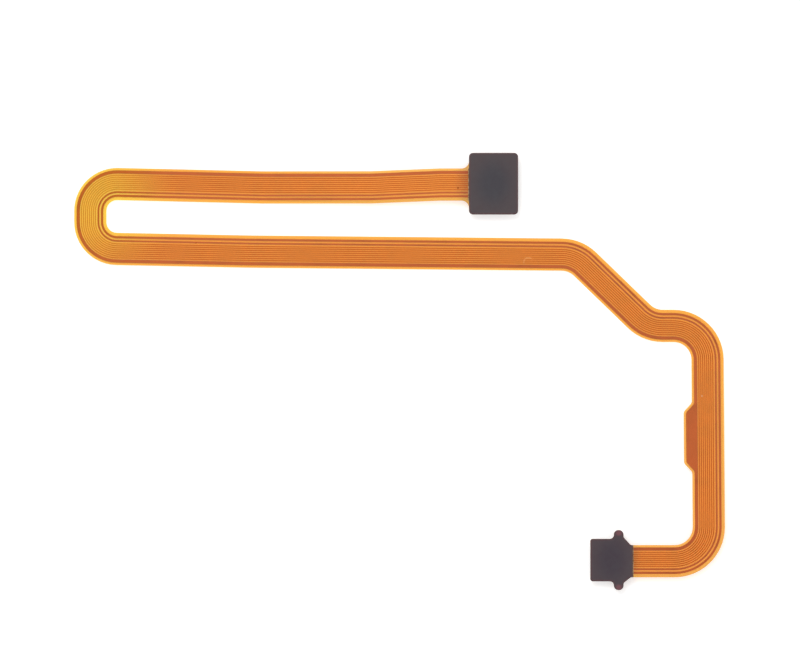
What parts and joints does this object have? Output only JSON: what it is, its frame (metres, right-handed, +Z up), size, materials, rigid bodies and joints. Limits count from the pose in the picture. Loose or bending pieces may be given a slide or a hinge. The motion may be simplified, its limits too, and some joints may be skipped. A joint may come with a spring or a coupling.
{
  "type": "flat flex cable",
  "caption": "Flexible printed cable with a hairpin loop, a board-to-board socket under one end, a plug under the other and a stiffener over each.",
  "frame": {"origin": "centre of the socket's mating face, which lies on the table", "axes": "+Z up, out of the film's upper side and away from both connectors; +X from the hairpin loop towards the leg, along the longest side; +Y from the plug towards the socket"},
  "size_m": [0.065, 0.0437, 0.0011],
  "materials": {
    "polyimide_film": "amber polyimide film, glossy and see-through, so the copper shows as orange-brown lines",
    "copper": "etched copper foil, satin",
    "bonding_glue": "pale bonding film with a soft bead at its open edge",
    "stiffener_plate": "dark grey glass-filled stiffener, smooth with a soft broken edge",
    "connector_housing": "black moulded liquid-crystal polymer, fine matt",
    "gold_plating": "gold plate over copper alloy",
    "tin_plating": "tin plate over copper alloy, satin"
  },
  "bodies": {
    "root": {"anchor_lands": "copper", "base_film": "polyimide_film", "conductor_ground": "copper", "conductor_return": "copper", "conductor_signal_1": "copper", "conductor_signal_2": "copper", "conductor_signal_3": "copper", "conductor_signal_4": "copper", "conductor_signal_5": "copper", "conductor_signal_6": "copper", "conductor_signal_7": "copper", "conductor_signal_8": "copper", "conductor_supply": "copper", "cover_film": "polyimide_film", "plug_anchor_1": "tin_plating", "plug_anchor_2": "tin_plating", "plug_contact_1": "gold_plating", "plug_contact_10": "gold_plating", "plug_contact_11": "gold_plating", "plug_contact_12": "gold_plating", "plug_contact_2": "gold_plating", "plug_contact_3": "gold_plating", "plug_contact_4": "gold_plating", "plug_contact_5": "gold_plating", "plug_contact_6": "gold_plating", "plug_contact_7": "gold_plating", "plug_contact_8": "gold_plating", "plug_contact_9": "gold_plating", "plug_glue": "bonding_glue", "plug_housing": "connector_housing", "plug_stiffener": "stiffener_plate", "socket_anchor_1": "tin_plating", "socket_anchor_2": "tin_plating", "socket_contact_1": "gold_plating", "socket_contact_10": "gold_plating", "socket_contact_11": "gold_plating", "socket_contact_12": "gold_plating", "socket_contact_2": "gold_plating", "socket_contact_3": "gold_plating", "socket_contact_4": "gold_plating", "socket_contact_5": "gold_plating", "socket_contact_6": "gold_plating", "socket_contact_7": "gold_plating", "socket_contact_8": "gold_plating", "socket_contact_9": "gold_plating", "socket_glue": "bonding_glue", "socket_housing": "connector_housing", "socket_stiffener": "stiffener_plate"}
  },
  "joints": []
}
